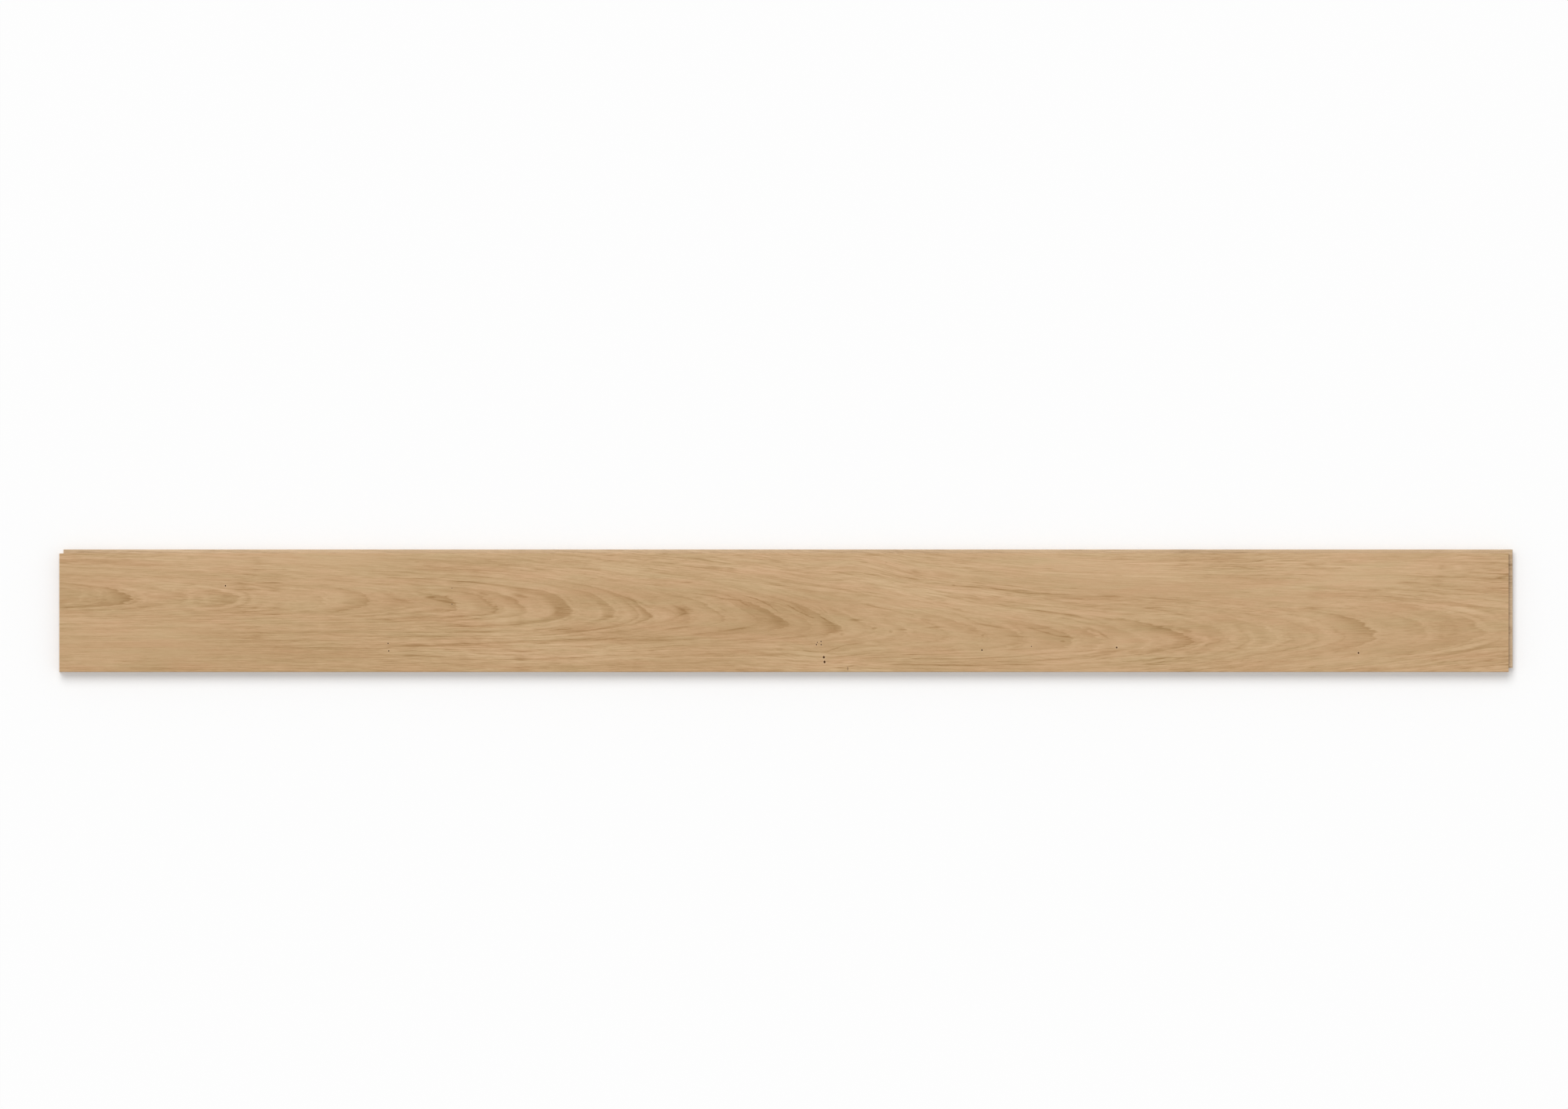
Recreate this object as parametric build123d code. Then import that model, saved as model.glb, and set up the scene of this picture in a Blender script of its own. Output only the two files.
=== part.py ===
from build123d import *
import os

# A solid oak floor plank, milled from one board, in millimetres.
# X runs along the plank, Y across it and Z up. The origin is the middle of the
# underside, below the middle of the face. The tongues are at +X and +Y, and the
# grooves at -X and -Y. A joint line is the upright plane where two faces meet.

# Face, from joint line to joint line
face_length = 2200.0
face_width = 180.0
thickness = 20.0
long_edge_bevel = 0.7
end_edge_bevel = 0.3

# Groove, milled into one long side and one end
wear_depth = 8.0
groove_height = 6.0
groove_depth = 6.5
groove_floor_radius = 0.5
groove_mouth_chamfer = 0.5

# Tongue, which fills the groove of the next plank but for these gaps
tongue_clearance = 0.1
tongue_nose_gap = 0.5
tongue_nose_radius = 1.2

# Nail pocket, a notch in the corner above the long tongue
nail_pocket_depth = 1.6
nail_pocket_height = 2.0

# Lower shoulders, which stand back so that the joint closes at the face first
lower_setback = 0.3
foot_chamfer = 0.5

# Relief channels along the underside, which keep a wide board from cupping
channel_count = 4
channel_pitch = 36.0
channel_width = 6.0
channel_depth = 2.5
channel_floor_radius = 1.0

# Heights and lengths that follow from these sizes
groove_top = thickness - wear_depth
groove_bottom = groove_top - groove_height
tongue_top = groove_top - tongue_clearance
tongue_bottom = groove_bottom + tongue_clearance
tongue_length = groove_depth - tongue_nose_gap

# Each section is milled along a blank that is longer than the board by this much
run_out = 10.0


def corners_at(section, across, height):
    """The corner of a drawn section that lies at one place, as a list."""
    return section.vertices().filter_by(
        lambda v: abs(v.X - across) < 1e-6 and abs(v.Y - height) < 1e-6
    )


def board_section(face_span, edge_bevel):
    """Section with a groove on the left and a tongue on the right, drawn upright.

    face_span is the width of the face, and the tongue stands out beyond it.
    """
    left, right = -face_span / 2, face_span / 2
    groove_floor = left + groove_depth
    nose = right + tongue_length
    lower_left, lower_right = left + lower_setback, right - lower_setback
    outline = Polyline(
        (left + edge_bevel, thickness),
        (right - edge_bevel, thickness),
        (right, thickness - edge_bevel),
        (right, tongue_top),
        (nose, tongue_top),
        (nose, tongue_bottom),
        (lower_right, tongue_bottom),
        (lower_right, foot_chamfer),
        (lower_right - foot_chamfer, 0),
        (lower_left + foot_chamfer, 0),
        (lower_left, foot_chamfer),
        (lower_left, groove_bottom - groove_mouth_chamfer),
        (lower_left + groove_mouth_chamfer, groove_bottom),
        (groove_floor, groove_bottom),
        (groove_floor, groove_top),
        (left + groove_mouth_chamfer, groove_top),
        (left, groove_top + groove_mouth_chamfer),
        (left, thickness - edge_bevel),
        close=True,
    )
    section = make_face(outline)
    nose_corners = corners_at(section, nose, tongue_top) + corners_at(section, nose, tongue_bottom)
    section = fillet(nose_corners, tongue_nose_radius)
    floor_corners = corners_at(section, groove_floor, groove_top)
    floor_corners += corners_at(section, groove_floor, groove_bottom)
    return fillet(floor_corners, groove_floor_radius)


def milled_along_length():
    """The long sides' section, run along X past both ends."""
    run = face_length + 2 * (tongue_length + run_out)
    along_x = Plane(origin=(-run / 2, 0, 0), x_dir=(0, 1, 0), z_dir=(1, 0, 0))
    return extrude(along_x * board_section(face_width, long_edge_bevel), run)


def milled_across_ends():
    """The two ends' section, run along Y past both long sides."""
    run = face_width + 2 * (tongue_length + run_out)
    across_y = Plane(origin=(0, run / 2, 0), x_dir=(1, 0, 0), z_dir=(0, -1, 0))
    return extrude(across_y * board_section(face_length, end_edge_bevel), run)


def nail_pocket():
    """Three-cornered notch in the long shoulder, where a nail's head sinks."""
    shoulder = face_width / 2
    run = face_length + 2 * (tongue_length + run_out)
    along_x = Plane(origin=(-run / 2, 0, 0), x_dir=(0, 1, 0), z_dir=(1, 0, 0))
    notch = Polyline(
        (shoulder, tongue_top),
        (shoulder, tongue_top + nail_pocket_height),
        (shoulder - nail_pocket_depth, tongue_top),
        close=True,
    )
    return extrude(along_x * make_face(notch), run)


def relief_channel(centre):
    """One channel of the underside, open at both ends of the plank."""
    run = face_length + 2 * run_out
    along_x = Plane(origin=(-run / 2, 0, 0), x_dir=(0, 1, 0), z_dir=(1, 0, 0))
    left, right = centre - channel_width / 2, centre + channel_width / 2
    sides = Polyline(
        (left, -run_out),
        (left, channel_depth),
        (right, channel_depth),
        (right, -run_out),
        close=True,
    )
    section = make_face(sides)
    floor_corners = corners_at(section, left, channel_depth)
    floor_corners += corners_at(section, right, channel_depth)
    return extrude(along_x * fillet(floor_corners, channel_floor_radius), run)


def floor_plank():
    """The whole plank: both millings, then the pocket and the channels."""
    plank = milled_along_length() & milled_across_ends()
    plank -= nail_pocket()
    for i in range(channel_count):
        plank -= relief_channel((i - (channel_count - 1) / 2) * channel_pitch)
    return plank


os.makedirs("parts", exist_ok=True)
plank = floor_plank().solid()
plank.label = "plank"
export_step(plank, "parts/plank.step")
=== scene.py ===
import math
import random

import bmesh
import bpy
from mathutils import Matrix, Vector


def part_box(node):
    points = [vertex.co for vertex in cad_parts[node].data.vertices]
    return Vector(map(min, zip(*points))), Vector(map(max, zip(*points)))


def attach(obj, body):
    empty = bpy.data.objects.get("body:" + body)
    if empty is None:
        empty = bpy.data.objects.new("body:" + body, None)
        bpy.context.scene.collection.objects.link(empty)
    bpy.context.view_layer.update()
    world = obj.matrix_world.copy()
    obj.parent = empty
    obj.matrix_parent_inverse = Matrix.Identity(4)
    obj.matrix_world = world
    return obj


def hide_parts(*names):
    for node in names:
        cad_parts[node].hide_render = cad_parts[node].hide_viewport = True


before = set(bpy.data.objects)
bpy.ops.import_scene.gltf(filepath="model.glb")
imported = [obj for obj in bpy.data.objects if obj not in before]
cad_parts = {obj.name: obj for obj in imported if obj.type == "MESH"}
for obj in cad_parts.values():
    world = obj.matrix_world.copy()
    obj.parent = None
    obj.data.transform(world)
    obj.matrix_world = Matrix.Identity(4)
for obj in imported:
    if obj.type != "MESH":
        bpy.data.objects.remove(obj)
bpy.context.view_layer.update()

# The oak floor plank, in metres. X runs along it, Y across it and Z up, and it
# lies on the floor with its oiled face up. Its grain is drawn as the tree grew:
# each growth ring is a shell round a wandering pith, and the plank is sawn from
# that log, so the face, the sides, the ends and the back all show the same rings.

MM = 0.001


def in_metres(lengths, rows):
    """Rows of numbers whose first few are lengths, turned from millimetres to metres."""
    return [tuple(value * MM for value in row[:lengths]) + row[lengths:] for row in rows]


low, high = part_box("plank")

# Section of the milled edges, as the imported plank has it
tongue_length = 6.0 * MM
tongue_low = 6.1 * MM
tongue_high = 11.9 * MM
tongue_nose_radius = 1.2 * MM
groove_depth = 6.5 * MM
groove_low = 6.0 * MM
groove_high = 12.0 * MM
groove_floor_radius = 0.5 * MM
groove_mouth_chamfer = 0.5 * MM
long_edge_bevel = 0.7 * MM
end_edge_bevel = 0.3 * MM
lower_setback = 0.3 * MM
foot_chamfer = 0.5 * MM
nail_pocket_depth = 1.6 * MM
nail_pocket_height = 2.0 * MM
channel_count = 4
channel_pitch = 36.0 * MM
channel_width = 6.0 * MM
channel_depth = 2.5 * MM
channel_floor_radius = 1.0 * MM
run_out = 10.0 * MM
nearest = 0.001 * MM

# Sizes that the frame gives
thickness = high.z - low.z
face_length = high.x - low.x - tongue_length
face_width = high.y - low.y - tongue_length

# The log that the plank was sawn from. Each pair is a place along the plank and,
# at that place, where the pith lies across it or how deep it lies under the face.
pith_drift = in_metres(2, [
    (-1110, 26),
    (-850, 23),
    (-643, 18),
    (-400, 11),
    (-220, 6),
    (-70, 1),
    (90, -12),
    (230, -22),
    (330, -29),
    (441, -35),
    (615, -33),
    (850, -26),
    (1110, -20),
])
pith_depth = in_metres(2, [
    (-1110, 22),
    (-850, 28),
    (-643, 33),
    (-400, 39.5),
    (-320, 44),
    (-220, 51),
    (-70, 57.5),
    (0, 61),
    (90, 65),
    (230, 70),
    (330, 73),
    (441, 75.4),
    (615, 80),
    (850, 88),
    (1110, 96),
])
log_ovality = 0.78

# How far the arches lean to one side: place along the plank, lean there
arch_skew = in_metres(1, [
    (-1110, 0.3),
    (-643, 0.3),
    (-400, 0.4),
    (-321, 0.6),
    (-220, 1.4),
    (-100, 2.1),
    (40, 2.5),
    (330, 2.4),
    (443, 2.0),
    (614, 1.6),
    (1110, 1.0),
])
arch_skew_reach = 26 * MM
arch_bluntness = 18 * MM

# Where the tip of each cathedral arch lies along the plank, and how dark the late
# wood of its ring is
arch_tips = in_metres(1, [
    (-1060, 0.40),
    (-985, 0.75),
    (-905, 0.30),
    (-820, 0.55),
    (-765, 0.35),
    (-700, 0.50),
    (-622, 0.80),
    (-559, 0.35),
    (-504, 0.85),
    (-440, 0.40),
    (-392, 0.75),
    (-323, 0.85),
    (-261, 0.80),
    (-209, 0.55),
    (-153, 0.50),
    (-97, 0.35),
    (-50, 0.10),
    (-13, 0.60),
    (24, 0.15),
    (69, 0.60),
    (118, 0.25),
    (171, 0.20),
    (226, 0.30),
    (290, 0.45),
    (348, 0.45),
    (431, 0.50),
    (481, 0.55),
    (542, 0.35),
    (604, 0.80),
    (666, 0.40),
    (742, 0.65),
    (817, 0.30),
    (892, 0.80),
    (978, 0.45),
    (1062, 0.60),
])
inner_ring_width = 2.4 * MM
outer_ring_width = 2.6 * MM
widest_log = 140 * MM

# Pin knots: place along and across the face, and half width
pin_knots = in_metres(3, [
    (-504, 37.2, 0.55),
    (-504, 13.1, 0.7),
    (-600, -58, 0.85),
    (-601, -46.5, 0.8),
    (50.6, -45, 0.65),
    (49.2, -48.4, 0.8),
    (56.2, -43.6, 0.8),
    (56.4, -48.4, 0.8),
    (60.5, -67.5, 1.4),
    (61.5, -74.7, 1.4),
    (300.5, -56.8, 1),
    (375.5, -51.2, 0.6),
    (505, -52.7, 1.05),
    (-848, 41, 0.9),
    (872, -61, 1.1),
])
pin_knot_stretch = 0.85
pin_knot_depth = 0.8 * MM

# Marks in the grain, read off the board, from one end to the other: place along
# and across, half length and half width, how far it leans across for each step along,
# strength. A strength below nothing is a pale line.
grain_marks = in_metres(4, [
    (-605, -11.5, 18, 1.8, 0, 0.6),
    (-600, 14, 95, 22, 0, 0.42),
    (-590, 56.3, 22, 1, -0.02, 0.7),
    (-585, -76.5, 26, 1, 0, 0.6),
    (-578, 18, 24, 2.4, -0.3, 0.35),
    (-560, 52, 55, 1, -0.02, 0.7),
    (-560, 38.5, 50, 1.2, -0.02, -0.5),
    (-558, -50.2, 60, 1.7, 0.02, 0.75),
    (-557, 77, 4, 1, 0, 0.6),
    (-555, -6.5, 48, 2, 0.1, 0.4),
    (-540, 70.5, 25, 0.9, 0, 0.5),
    (-537, 23.5, 8, 2, 0, 1.1),
    (-518, 17.8, 21, 1.7, -0.18, 0.9),
    (-513, 25, 2.6, 1.2, 0, 0.7),
    (-509, 3, 6, 1.4, 0, 0.5),
    (-490, 47, 15, 1.2, 0, 0.6),
    (-475, -47, 45, 2, 0.02, 0.75),
    (-470, 45.5, 50, 1, -0.08, 0.6),
    (-457, 28.7, 9, 1.6, -0.25, 0.8),
    (-447, 79.8, 12, 0.9, 0, 0.6),
    (-440, 72, 28, 0.9, -0.03, 0.5),
    (-437, 11, 2, 4.5, 0, 0.35),
    (-400, 37, 40, 1.2, -0.1, 0.7),
    (-400, 25.5, 12, 2.6, -0.15, 0.9),
    (-395, -44.3, 50, 2.4, 0.02, 0.75),
    (-380, -14, 42, 1.9, 0.14, 0.6),
    (-340, -47.8, 55, 0.9, 0.01, -0.7),
    (-337, 1, 15, 11, 0, 0.5),
    (-335, -25.3, 16, 1.2, 0.07, 0.9),
    (-325, -41.6, 45, 2.8, 0.045, 0.9),
    (-280, -10.5, 14, 1.2, 0.12, 0.5),
    (-270, 86.5, 12, 0.9, 0, 0.6),
    (-265, -77, 50, 0.9, 0, 0.6),
    (-262, -5.5, 13, 2.2, 0, 1.1),
    (-250, -41.2, 60, 2.4, 0, 0.6),
    (-240, -58.6, 60, 0.9, 0, 0.6),
    (-225, 17.5, 22, 2, -0.42, 0.6),
    (-217, -13.5, 14, 1.4, 0.33, 0.6),
    (-208, 1, 10, 10, 0, 0.35),
    (-202, -5.5, 4, 1.5, 0, 0.7),
    (-195, 87, 20, 0.8, 0, 0.7),
    (-192, 42, 10, 1.5, -0.05, 0.5),
    (-175, -38.5, 80, 5.5, 0.04, 0.5),
    (-160, -22.5, 22, 1.1, 0.13, 0.6),
    (-158, 6, 13, 1.9, -0.46, 0.55),
    (-156, -3.5, 9, 2, 0.4, 0.5),
    (-152, 2, 12, 8, 0, 0.7),
    (-145, 46, 7, 1.3, 0, 0.6),
    (-131, -32.3, 12, 1.8, 0.05, 0.6),
    (-120, 27, 25, 1.1, -0.15, 0.8),
    (-113, 33.5, 14, 1.2, -0.05, 0.6),
    (-105, -29.7, 28, 1.3, 0.08, 0.5),
    (-103, -38.5, 10, 0.9, 0, 0.6),
    (-92, 4.5, 6, 1.6, -0.6, 0.5),
    (-85, -29, 42, 5, 0.12, 0.35),
    (-84, 20.5, 20, 1.1, -0.12, 0.9),
    (-70, -24.5, 24, 1.5, 0.16, 0.5),
    (-60, 13.5, 8, 1.6, -0.5, 0.8),
    (-48, 22.5, 14, 1.1, -0.3, 0.7),
    (-48, -43.5, 18, 1.2, 0.08, 0.6),
    (-33, -4, 34, 14, -0.45, 0.42),
    (-30, 15, 12, 1.2, -0.45, 0.8),
    (-20, -39, 32, 0.9, 0.12, -0.5),
    (-15, 6, 9, 1.2, -0.8, 0.7),
    (-12, -12, 10, 8, -0.3, 0.3),
    (-10, -63, 30, 1, 0.05, 0.6),
    (0, 41, 28, 1, -0.08, 0.5),
    (0, 38.8, 26, 0.9, -0.08, -0.4),
    (16, 5.5, 15, 1.2, -0.55, 0.9),
    (37, -5, 10, 1.3, -0.45, 0.8),
    (40, -58.5, 12, 1, -0.15, 0.7),
    (60, 70.5, 30, 1.2, 0, -0.5),
    (60, 4, 7, 1.6, -0.8, 0.6),
    (61, -8.5, 6, 1.6, -0.5, 0.8),
    (70, -22, 14, 9, -0.3, 0.45),
    (77, -54.8, 17, 1.1, 0.36, 0.7),
    (88, -33, 3, 2.4, 0, 0.5),
    (105, -47.5, 18, 1.1, 0.12, 0.6),
    (110, -10.8, 11, 1.9, 0, 1.1),
    (121, 76.5, 6, 1.5, -0.1, 0.8),
    (132, 10.8, 14, 1, -0.22, 0.7),
    (133, -17.8, 9, 1.3, -0.12, 0.6),
    (136, 87.6, 17, 1.5, 0, 1.1),
    (137, -23.5, 3.5, 1.9, 0, 1.1),
    (140, 57.5, 26, 1.2, -0.03, 0.5),
    (155, 76, 1.6, 3, 0, 0.6),
    (156, 5.8, 14, 1.1, -0.12, 0.8),
    (162, -28.5, 3, 2.2, 0, 0.8),
    (172, -78.8, 10, 1.1, 0, 0.6),
    (180, -25.5, 7, 1.5, 0, 0.7),
    (180, 6.5, 34, 1, -0.15, -0.5),
    (180, 63, 20, 1.1, -0.3, 0.6),
    (183, 65.5, 20, 1, -0.3, -0.4),
    (188, -1.5, 18, 1.1, -0.2, 0.6),
    (190, -63.5, 14, 1.1, 0.02, 0.9),
    (190, 51.5, 20, 1, -0.15, 0.6),
    (214, -10, 9, 6, 0, 0.35),
    (225, 44.7, 13, 1.5, 0, 0.9),
    (226, -22.3, 16, 1.2, 0.05, 0.9),
    (230, -69.6, 60, 1.2, 0, 0.9),
    (239, 18, 6, 1.2, 0, 0.6),
    (245, -79.2, 75, 1.5, -0.015, 1),
    (257, 42, 3, 1.5, 0, 0.8),
    (265, 5.5, 9, 1.2, -0.12, 0.7),
    (265, 25, 22, 1, -0.08, 0.5),
    (281, -10, 14, 1.2, -0.4, 0.6),
    (285, 39.5, 35, 1.1, -0.05, 1),
    (288, -27, 14, 4, 0.1, 0.35),
    (290, 67.3, 75, 0.9, -0.05, 0.4),
    (290, 65.2, 75, 0.9, -0.05, -0.35),
    (302.5, -34, 2.4, 1.8, 0, 0.8),
    (308, -19, 24, 1.6, -0.17, 0.9),
    (318, -68.2, 50, 1.2, 0.04, 0.9),
    (340, 34.6, 36, 1.3, -0.08, 0.9),
    (350, -35.5, 18, 1.2, -0.05, 0.7),
    (353, -56, 16, 1.2, 0.06, 0.7),
    (355, -78.2, 35, 1.2, 0, 0.7),
    (375, -23.8, 11, 1.5, -0.15, 0.7),
    (378, -63.8, 40, 1.2, 0.1, 0.8),
    (395, 2.2, 18, 1.3, -0.12, 0.8),
    (395, -72.2, 36, 1.2, 0.09, 0.7),
    (397, -30, 15, 1.4, -0.28, 0.8),
    (404, 28.8, 32, 1.1, -0.05, 0.7),
    (420, 31.5, 50, 1, -0.06, -0.5),
    (423, -43.3, 4, 1.6, 0, 1),
    (430, -36.7, 18, 1.3, -0.08, 0.9),
    (435, -4, 15, 3.2, -0.15, 0.7),
    (440, 59.5, 75, 0.9, -0.03, -0.5),
    (440, 61.5, 70, 0.9, -0.03, 0.3),
    (440, 37, 8, 1.3, 0, 0.6),
    (450, 20.5, 6, 1, 0, 0.8),
    (452, -67, 45, 1.3, 0.08, 0.8),
    (466, -57.2, 36, 1.2, 0.11, 0.9),
    (468, -26, 14, 2.4, -0.3, 0.8),
    (474, 2.7, 24, 1.2, -0.13, 0.7),
    (478, -75.6, 50, 1.2, 0.03, 0.7),
    (485, -34, 8, 2.4, -0.6, 0.9),
    (500, 25, 20, 1.3, -0.03, 0.9),
    (515, -9.5, 15, 1.2, -0.12, 0.8),
    (517, 80.5, 18, 1, 0, 0.5),
    (519, -1.8, 20, 1.4, -0.08, 0.8),
    (545, -72, 30, 1.2, 0.07, 0.7),
    (560, 54.8, 60, 0.9, -0.01, -0.6),
    (560, 56.8, 55, 0.9, -0.01, 0.35),
    (570, 21.5, 38, 1.1, -0.07, 0.7),
    (572, -69, 18, 1.7, 0.12, 1),
    (585, -23.5, 32, 3.4, -0.08, 0.6),
    (600, 72, 26, 1.2, 0, 0.7),
    (612, -63.3, 26, 1.3, 0.08, 0.8),
    (612, -30, 7, 5, 0, 0.7),
])

# Places where the grain swells round a knot under the face: along, across, half
# length, half width and how far the grain is pushed across
grain_swells = in_metres(5, [
    (55, -62, 60, 16, 5),
    (118, 72, 50, 34, -8),
])

# Short check across the grain
check_place = (96.7 * MM, -84.8 * MM)
check_half_length = 3.2 * MM
check_half_width = 0.35 * MM
check_depth = 0.9 * MM

# How fine the face is divided for its relief, how deep that is, how far it keeps
# from the edges, and the ages in a ring between which the wood is soft. Then how deep
# the pits may reach, and which angles count as flat and as smooth.
relief_cuts = 86
relief_depth = 0.09 * MM
relief_margin = 1.2 * MM
soft_wood_end = 0.55
soft_wood_start = 0.08
pit_zone = 1.5 * MM
flat_within = math.radians(0.5)
smooth_within = math.radians(25)

# How many turns each pattern makes in a metre along the plank, then across and in
# depth. Lines and threads are read by radius instead, the rays by their angle and
# radius, and the fading by the number of the ring and across.
slow_wobble_grain = (9, 30, 30)
fine_wobble_grain = (45, 420, 420)
fading_grain = (3.5, 1.7, 12)
fine_line_grain = (24, 1100, 1)
broad_line_grain = (5, 360, 1)
thread_grain = (5, 400, 1)
fibre_grain = (42, 600, 600)
cloud_grain = (4, 24, 24)
busy_grain = (3, 22, 22)
warmth_grain = (9, 70, 70)
ray_grain = (55, 160, 60)
fleck_grain = (2500, 2500, 2500)

# Which layer of a flat pattern is drawn
fine_line_layer = 0
broad_line_layer = 7
thread_layer = 19

# Rings and grain: how ragged the rings are, and how far each kind of line moves
# the shade, in levels out of 255
log_end = 1110 * MM
noise_reach = 4.0
ring_wobble = 0.45 * MM
ring_fray = 0.15 * MM
late_wood_curve = 1.4
late_wood_end = 0.92
ring_fading = 0.35
ring_shade = 8
crown_shade = 20
crown_reach = 26 * MM
crown_calm = 0.5
fine_line_swing = 7.5
broad_line_swing = 8.8
thread_shade = 10
thread_glow = 7
thread_width = 0.12
busy_swing = 0.6
fibre_swing = 8
cloud_swing = 8.3
warmth_swing = 0.55
pore_shade = 7
pore_length = 16 * MM
pore_pitch = 0.5 * MM
pore_width = 0.2
pore_extra_width = 0.24
pore_core = 0.55
ray_shade = 3
ray_edge = 0.62
ray_middle = 0.7
mark_shade = 16
mark_fray = 0.045 * MM
mark_end_fray = 0.35 * MM
fleck_swing = 10
oil_depth = 0.8
# How much paler the painted highlight round each pin knot is, in levels out of 255
knot_highlight_level = 11

# How the colour drifts over the board, paler towards its +Y edge and round 320 mm along: a place
# across or along it, and the levels there
shade_across_board = in_metres(1, [
    (-90, -2.3),
    (-55, -0.8),
    (-20, 0.5),
    (15, 1.3),
    (50, 3.5),
    (90, 4.0),
])
shade_along_board = in_metres(1, [
    (-1110, -2),
    (-643, -0.5),
    (-400, -0.5),
    (-150, -1.5),
    (80, -0.5),
    (320, 3),
    (643, 1.5),
    (1110, 0),
])

# Where the full tone of each kind of spot ends and where its edge fades out, as
# shares of the spot's own size
mark_core = 0.3
mark_edge = 1.4
knot_core = 0.9
knot_edge = 1.9
# The pale rim round each pin knot, a painted highlight
knot_highlight_core = 1.6
knot_highlight_edge = 3.2

# How much stronger each thing shows on bare wood and on the sawn ends than on the face
raw_pore_gain = 1.4
raw_ray_gain = 2
end_ring_gain = 1.6
end_pore_gain = 2.5
end_ray_gain = 3

# Colours, from the darkest grain to the palest
yellow_darkest = (163, 128, 79)
yellow_palest = (226, 196, 155)
pink_darkest = (167, 126, 78)
pink_palest = (230, 192, 154)
side_darkest = (178, 148, 112)
side_palest = (232, 206, 172)
back_darkest = (172, 142, 106)
back_palest = (226, 199, 164)
end_darkest = (140, 106, 72)
end_palest = (204, 171, 132)
knot_colour = (84, 50, 14)
knot_darkest = (58, 33, 8)
knot_palest = (106, 68, 26)

# Roughness of each finish, and what its open pores, its fibres or its flecks add to it
oiled_roughness = 0.52
oiled_pore_roughness = 0.2
oiled_fibre_roughness = 0.008
raw_roughness = 0.74
raw_pore_roughness = 0.1
end_roughness = 0.82
end_pore_roughness = 0.08
knot_roughness = 0.88
fleck_roughness = 0.01

# Depth of each finish's finest relief, and how far fibres and late wood rise and
# pores sink in it
oiled_relief = 0.03 * MM
side_relief = 0.03 * MM
back_relief = 0.06 * MM
end_relief = 0.1 * MM
knot_relief = 0.02 * MM
late_wood_height = 0.3
oiled_fibre_height = 0.04
raw_fibre_height = 0.05
raw_pore_drop = 0.5
end_fibre_height = 0.1

# Cutter marks: their pitch on the sides and the back, and the painted shade on their ripples,
# darker in the hollows and paler on the crests
side_cutter_pitch = 2 * MM
back_cutter_pitch = 4.5 * MM
ripple_painted_shade = 4

# The flat map of the plank, from 0 to 1 each way: the face in two strips at the top,
# the sides and the back below them, and the two ends side by side at the foot
map_margin = 0.003
map_length = 0.994
face_strips = (0.752, 0.504)
face_strip_height = 0.244
girth_strip = 0.105
girth_strip_height = 0.39
end_strips = (0.003, 0.506)
end_strip_length = 0.491
end_strip_foot = 0.004
end_map_scale = 0.09 / (34 * MM)

# Light, floor and the photograph's frame
room_light = 0.5
floor_lift = 0.16
floor_white = 0.9
floor_size = 60
floor_gap = 0.3 * MM
lamp_light = 1.58
lamp_softness = 40
lamp_tilt = (-32, -12, 0)
photo_width = 2000
photo_height = 1414
photo_scale = 1.19008 * MM
photo_row = 781.25
overhead = 3


def srgb(red, green, blue):
    """A colour as a paint chart gives it, 0 to 255, as linear light with alpha."""
    def linear(level):
        level /= 255
        return level / 12.92 if level <= 0.04045 else ((level + 0.055) / 1.055) ** 2.4
    return (linear(red), linear(green), linear(blue), 1.0)


# Modelling

def only(piece):
    """Deselects all and makes one piece the active object."""
    bpy.ops.object.select_all(action="DESELECT")
    piece.select_set(True)
    bpy.context.view_layer.objects.active = piece


def pick(kind, test):
    """In edit mode, selects just the vertices, edges or faces that pass a test."""
    bpy.ops.mesh.select_all(action="DESELECT")
    bpy.ops.mesh.select_mode(type=kind)
    mesh = bpy.context.edit_object.data
    shape = bmesh.from_edit_mesh(mesh)
    items = {"VERT": shape.verts, "EDGE": shape.edges, "FACE": shape.faces}[kind]
    found = 0
    for item in items:
        if test(item):
            item.select_set(True)
            found += 1
    shape.select_flush_mode()
    bmesh.update_edit_mesh(mesh)
    return found


def cut(place, normal):
    """Cuts every face of the section in two along a straight line."""
    bpy.ops.mesh.select_all(action="SELECT")
    bpy.ops.mesh.bisect(plane_co=place, plane_no=normal, threshold=nearest)


def clear(lowest_x, highest_x, lowest_z, highest_z):
    """Takes away the part of the section between four lines."""
    def inside(face):
        middle = face.calc_center_median()
        return lowest_x < middle.x < highest_x and lowest_z < middle.z < highest_z
    if pick("FACE", inside):
        bpy.ops.mesh.delete(type="FACE")


def round_corner(x, z, radius, segments):
    """Rounds one corner of the section, or chamfers it if segments is 1."""
    if pick("VERT", lambda v: abs(v.co.x - x) < nearest and abs(v.co.z - z) < nearest):
        bpy.ops.mesh.bevel(offset=radius, segments=segments, affect="VERTICES", clamp_overlap=False)


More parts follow.
